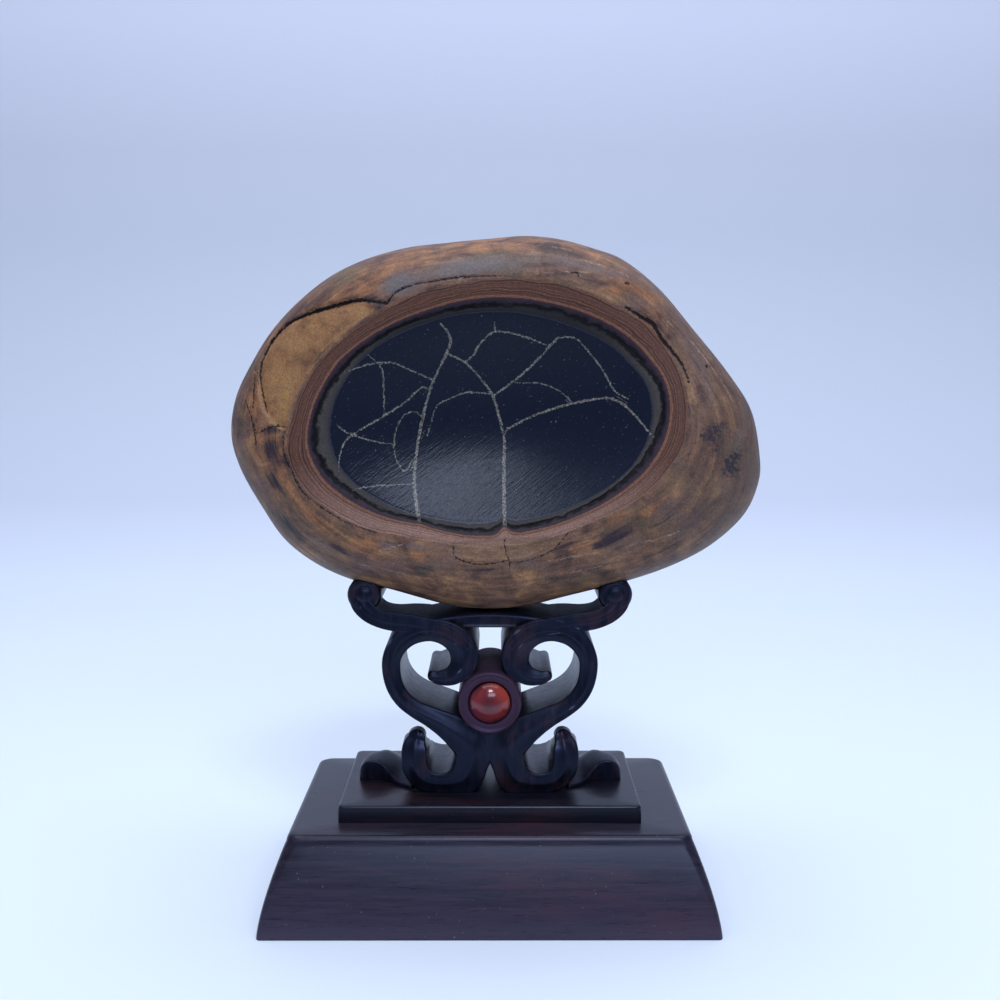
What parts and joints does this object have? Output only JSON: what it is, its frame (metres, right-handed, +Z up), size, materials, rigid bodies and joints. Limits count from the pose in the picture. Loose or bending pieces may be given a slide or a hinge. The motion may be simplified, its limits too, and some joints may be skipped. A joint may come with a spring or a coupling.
{
  "type": "scholars rock",
  "caption": "Banded river stone with a dished, polished dark eye crossed by pale veins, resting in a carved wooden scroll cradle on a stepped plinth.",
  "frame": {"origin": "centre of the plinth's flat underside, where the object rests", "axes": "+Z up, +X to the right as the stone's polished eye is faced, +Y away from the viewer into the stone; the eye faces -Y"},
  "size_m": [0.1295, 0.0746, 0.1612],
  "materials": {
    "stone_rind": "water-worn banded ironstone, hand-rubbed to a low sheen, with a polished blue-black eye and pale veins",
    "dark_wood": "carved blackwood, oiled and waxed to a satin shine",
    "red_agate": "domed and polished red agate"
  },
  "bodies": {
    "root": {"stone": "stone_rind", "carved_scroll": "dark_wood", "cabochon": "red_agate", "step_plate": "dark_wood", "base_block": "dark_wood"}
  },
  "joints": []
}
